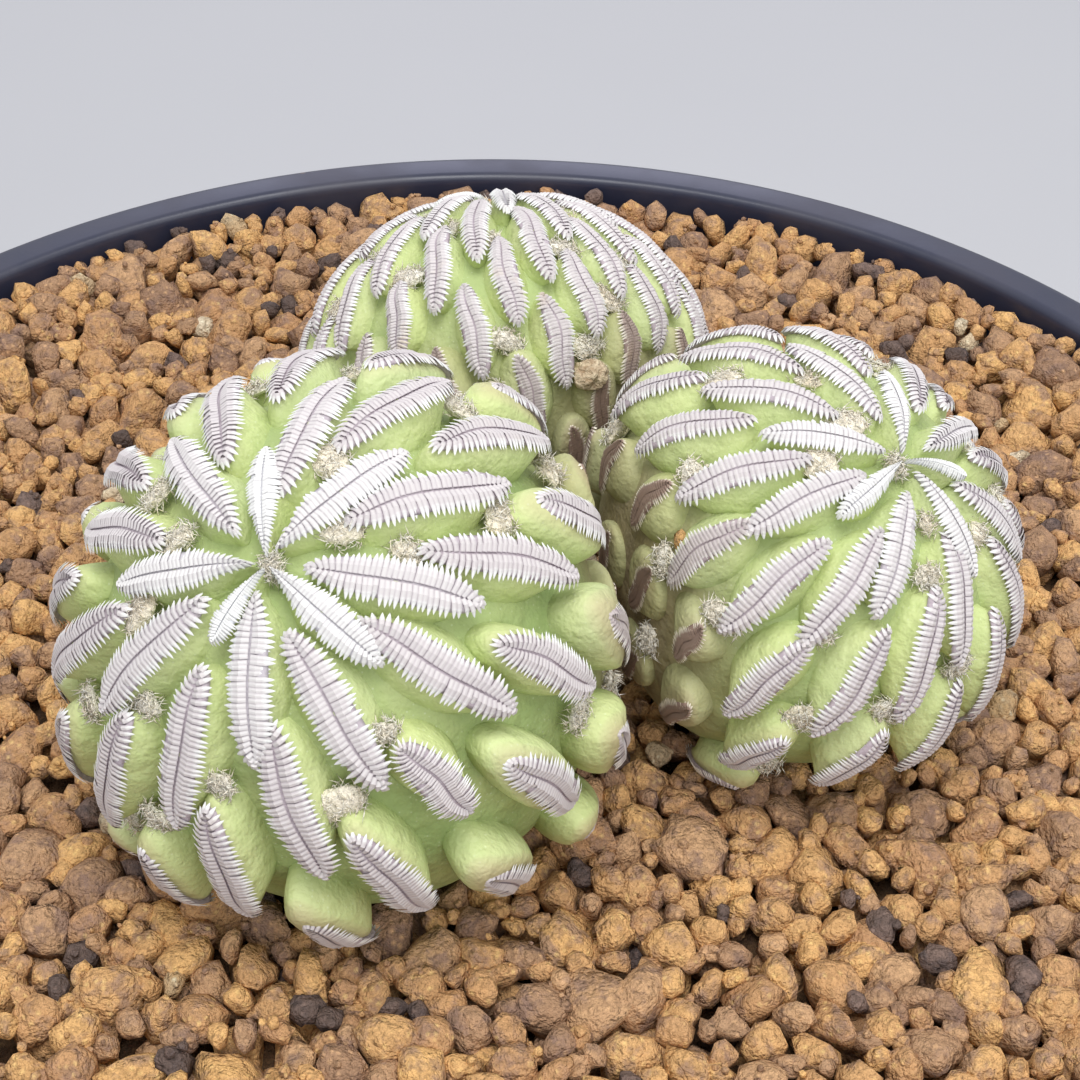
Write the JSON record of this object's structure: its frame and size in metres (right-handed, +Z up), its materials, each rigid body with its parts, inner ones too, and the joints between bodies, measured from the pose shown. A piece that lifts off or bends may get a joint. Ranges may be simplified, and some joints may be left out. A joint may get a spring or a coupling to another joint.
{
  "type": "potted hatchet cactus",
  "caption": "Clump of hatchet cactus heads, each set in spirals of hatchet-shaped tubercles with comb-like spines, in granular soil in a round black plastic pot.",
  "frame": {"origin": "centre of the pot's standing ring, at the bottom", "axes": "+Z up along the pot's axis, -Y towards the viewer in the picture, +X to the viewer's right"},
  "size_m": [0.105, 0.105, 0.1118],
  "materials": {
    "pot_plastic": "satin",
    "drainage_pumice": "rough",
    "granules": "rough",
    "root_bark": "rough",
    "plant": "satin"
  },
  "bodies": {
    "root": {"pot": "pot_plastic", "drainage_stones": "drainage_pumice", "soil": "granules", "taproot": "root_bark", "head_front": "plant", "head_right": "plant", "head_back": "plant"}
  },
  "joints": []
}
